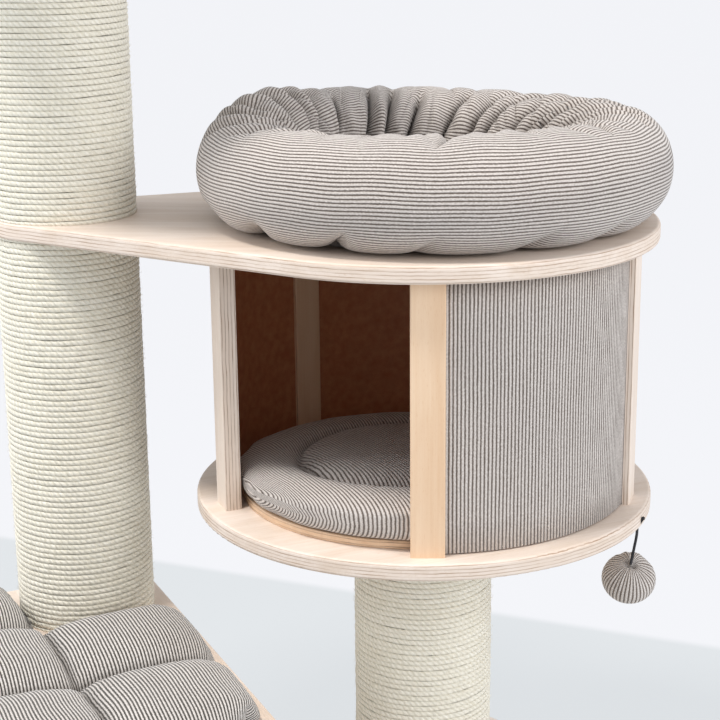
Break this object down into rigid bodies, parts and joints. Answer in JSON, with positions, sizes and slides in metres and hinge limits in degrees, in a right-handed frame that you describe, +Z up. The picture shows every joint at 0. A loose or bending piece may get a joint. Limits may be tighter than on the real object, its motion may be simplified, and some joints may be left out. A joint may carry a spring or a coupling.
{
  "type": "cat tree",
  "caption": "Tall cat tree with rope-wrapped posts, a quilted seat, a round cave with a doorway, a round bed on its roof, a top platform and a hanging ball.",
  "frame": {"origin": "middle of the base board, on the floor under its pads", "axes": "+Z up; +X along the base board's long side, towards the cave; -Y is the front, the side that the seat and the cave's doorway are reached from"},
  "size_m": [0.87, 0.59, 1.321],
  "materials": {
    "plywood": "birch plywood, plies bare at the rounded edges, clear matt lacquer",
    "slat_wood": "birch plywood strip, fine straight grain, clear matt lacquer",
    "mat_plywood": "thin birch plywood, sanded",
    "plug_wood": "sawn plywood",
    "hardboard": "dark brown hardboard, smooth side inwards",
    "tube_board": "wound board tube",
    "sisal_rope": "three-strand sisal rope, hairy, matt",
    "corduroy": "wide-wale corduroy, pale grey-taupe wales with darker grooves",
    "corduroy_wall": "wide-wale corduroy glued to the panel, wales upright",
    "zinc_steel": "zinc-plated steel",
    "pad_rubber": "soft rubber",
    "elastic": "black round elastic cord, braided cover"
  },
  "bodies": {
    "frame": {"base_board": "plywood", "base_pads": "pad_rubber", "base_bolts": "zinc_steel", "base_washers": "zinc_steel", "rear_lower_tube": "tube_board", "rear_lower_rope": "sisal_rope", "rear_lower_plugs": "plug_wood", "rear_middle_tube": "tube_board", "rear_middle_rope": "sisal_rope", "rear_middle_plugs": "plug_wood", "rear_upper_tube": "tube_board", "rear_upper_rope": "sisal_rope", "rear_upper_plugs": "plug_wood", "seat_post_tube": "tube_board", "seat_post_rope": "sisal_rope", "seat_post_plugs": "plug_wood", "cave_post_tube": "tube_board", "cave_post_rope": "sisal_rope", "cave_post_plugs": "plug_wood", "tee_nuts": "zinc_steel", "rear_rods": "zinc_steel", "top_bolts": "zinc_steel", "top_washers": "zinc_steel", "seat_board": "plywood", "cave_floor": "plywood", "cave_floor_screws": "zinc_steel", "roof_dowels": "plug_wood", "slat_door_right": "slat_wood", "slat_door_left": "slat_wood", "slat_back_left": "slat_wood", "slat_back_right": "slat_wood", "slat_right": "slat_wood", "panel_front": "hardboard", "panel_right": "hardboard", "panel_back": "hardboard", "panel_left": "hardboard", "cover_front": "corduroy_wall", "cover_right": "corduroy_wall", "cover_back": "corduroy_wall", "cover_left": "corduroy_wall", "upper_platform": "plywood", "top_platform": "plywood", "toy_knot": "elastic"},
    "seat_cushion": {"seat_cushion": "corduroy"},
    "cave_cushion": {"cave_mat": "mat_plywood", "cave_cushion": "corduroy"},
    "bed": {"bed_bolster": "corduroy", "bed_pad": "corduroy"},
    "top_cushion": {"top_cushion": "corduroy"},
    "toy_cord": {"toy_cord": "elastic"},
    "toy_ball": {"toy_ball": "corduroy"}
  },
  "joints": [
    {"name": "seat_cushion_lift", "type": "slide", "parent": "frame", "child": "seat_cushion", "axis": [0, 0, 1], "range_m": [0, 0.12]},
    {"name": "cave_cushion_lift", "type": "slide", "parent": "frame", "child": "cave_cushion", "axis": [0, 0, 1], "range_m": [0, 0.12]},
    {"name": "bed_lift", "type": "slide", "parent": "frame", "child": "bed", "axis": [0, 0, 1], "range_m": [0, 0.15]},
    {"name": "top_cushion_lift", "type": "slide", "parent": "frame", "child": "top_cushion", "axis": [0, 0, 1], "range_m": [0, 0.15]},
    {"name": "toy_swing", "type": "hinge", "parent": "frame", "child": "toy_cord", "pos_m": [0.32813, -0.22245, 0.497], "axis": [0.766, 0.6428, 0], "range_deg": [-40, 40]},
    {"name": "ball_swing", "type": "hinge", "parent": "toy_cord", "child": "toy_ball", "pos_m": [0.32313, -0.22005, 0.4525], "axis": [0.6428, -0.766, 0], "range_deg": [-20, 20]}
  ]
}
